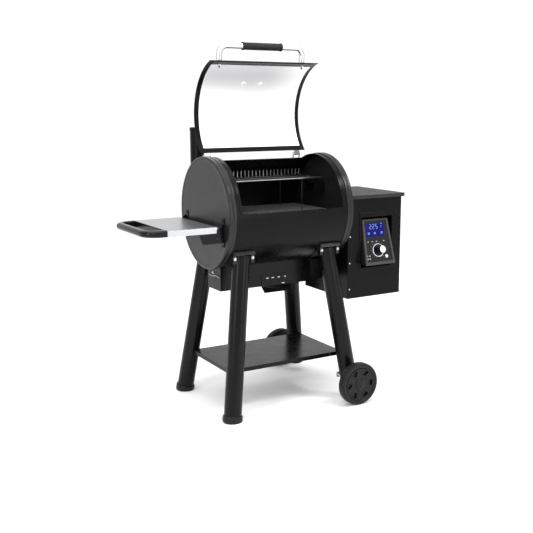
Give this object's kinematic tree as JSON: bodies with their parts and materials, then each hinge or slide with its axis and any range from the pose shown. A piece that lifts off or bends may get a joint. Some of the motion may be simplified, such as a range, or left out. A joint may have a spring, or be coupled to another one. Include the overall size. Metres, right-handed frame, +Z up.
{
  "type": "pellet smoker grill",
  "caption": "Barrel pellet cooker on splayed legs: curved lid that swings up, side hopper with controller, fold-down side shelf, ash drawer, storage shelf and transport wheels.",
  "frame": {"origin": "on the floor under the middle of the grill's overall footprint", "axes": "+Z up, -Y towards the cook in front, +X towards the pellet hopper"},
  "size_m": [1.2546, 0.71, 1.5633],
  "materials": {
    "barrel_enamel": "satin black high-heat powder coat",
    "cap_enamel": "fine-textured dark grey powder coat",
    "frame_enamel": "satin black powder coat",
    "stainless": "brushed stainless steel",
    "plated_steel": "zinc or nickel plated steel",
    "porcelain_wire": "porcelain-coated wire",
    "plain_steel": "bare mill-finish steel",
    "black_plastic": "moulded black plastic",
    "bezel_plastic": "moulded dark grey plastic",
    "display_glass": "clear screen over a blue display",
    "dial_metal": "polished metal ring",
    "button_plastic": "translucent pale button",
    "grip_rubber": "ribbed black rubber sleeve",
    "board_green": "solder-masked board"
  },
  "bodies": {
    "frame": {"auger_motor": "plain_steel", "auger_tube": "plain_steel", "axle_front": "plated_steel", "axle_rear": "plated_steel", "barrel_shell": "barrel_enamel", "blower_frame": "black_plastic", "bottom_shelf": "frame_enamel", "circuit_board": "board_green", "control_panel": "bezel_plastic", "controller_case": "black_plastic", "cooking_grate_left": "porcelain_wire", "cooking_grate_right": "porcelain_wire", "dial_ring": "dial_metal", "display": "display_glass", "drip_tray": "plain_steel", "exhaust_stack": "frame_enamel", "fire_box": "frame_enamel", "fire_pot": "plain_steel", "foot_front_left": "black_plastic", "foot_rear_left": "black_plastic", "grate_ledge_left": "frame_enamel", "grate_ledge_right": "frame_enamel", "heat_diffuser": "plain_steel", "hopper_cabinet": "cap_enamel", "hopper_hinge": "plated_steel", "igniter_rod": "plain_steel", "left_end_cap": "cap_enamel", "leg_bracket_front_left": "frame_enamel", "leg_bracket_front_right": "frame_enamel", "leg_bracket_rear_left": "frame_enamel", "leg_bracket_rear_right": "frame_enamel", "leg_front_left": "frame_enamel", "leg_front_right": "frame_enamel", "leg_rear_left": "frame_enamel", "leg_rear_right": "frame_enamel", "lid_hinge_foot_left": "plated_steel", "lid_hinge_foot_right": "plated_steel", "pellet_bin": "plain_steel", "power_inlet": "black_plastic", "right_end_cap": "cap_enamel", "shelf_bracket_front": "frame_enamel", "shelf_bracket_rear": "frame_enamel", "temperature_probe": "stainless", "warming_rack": "plated_steel"},
    "lid": {"lid_shell": "barrel_enamel", "lid_liner": "stainless", "lid_handle": "stainless", "handle_sleeve": "grip_rubber", "lid_hinge_leaf_left": "plated_steel", "lid_hinge_leaf_right": "plated_steel"},
    "hopper_lid": {"hopper_lid": "cap_enamel"},
    "side_shelf": {"side_shelf": "stainless", "shelf_grip": "black_plastic"},
    "wheel_front": {"wheel_front": "black_plastic"},
    "wheel_rear": {"wheel_rear": "black_plastic"},
    "knob": {"control_knob": "black_plastic"},
    "button": {"power_button": "button_plastic"},
    "ash_drawer": {"ash_drawer": "frame_enamel"},
    "auger": {"auger_screw": "plain_steel"},
    "fan": {"fan_rotor": "black_plastic"}
  },
  "joints": [
    {"name": "lid_hinge", "type": "hinge", "parent": "frame", "child": "lid", "pos_m": [0.01875, 0.1206, 1.08068], "axis": [1, 0, 0], "range_deg": [0, 104.4]},
    {"name": "hopper_lid_hinge", "type": "hinge", "parent": "frame", "child": "hopper_lid", "pos_m": [0.47025, 0.1645, 0.9037], "axis": [-1, 0, 0], "range_deg": [0, 95]},
    {"name": "side_shelf_hinge", "type": "hinge", "parent": "frame", "child": "side_shelf", "pos_m": [-0.30725, 0, 0.7995], "axis": [0, 1, 0], "range_deg": [-90, 0]},
    {"name": "wheel_front_spin", "type": "hinge", "parent": "frame", "child": "wheel_front", "pos_m": [0.28925, -0.335, 0.0945], "axis": [0, 1, 0], "continuous": true},
    {"name": "wheel_rear_spin", "type": "hinge", "parent": "frame", "child": "wheel_rear", "pos_m": [0.28925, 0.335, 0.0945], "axis": [0, 1, 0], "continuous": true},
    {"name": "knob_turn", "type": "hinge", "parent": "frame", "child": "knob", "pos_m": [0.47325, -0.21877, 0.65699], "axis": [0, -0.9646, 0.2639], "continuous": true},
    {"name": "button_press", "type": "slide", "parent": "frame", "child": "button", "axis": [0, 0.9646, -0.2639], "range_m": [0, 0.002], "stiffness_N_per_m": 400},
    {"name": "drawer_slide", "type": "slide", "parent": "frame", "child": "ash_drawer", "axis": [0, -1, 0], "range_m": [0, 0.085]},
    {"name": "auger_turn", "type": "hinge", "parent": "frame", "child": "auger", "pos_m": [0.31875, 0, 0.5885], "axis": [1, 0, 0], "continuous": true},
    {"name": "fan_spin", "type": "hinge", "parent": "frame", "child": "fan", "pos_m": [0.43325, 0.145, 0.505], "axis": [0, 1, 0], "continuous": true}
  ]
}
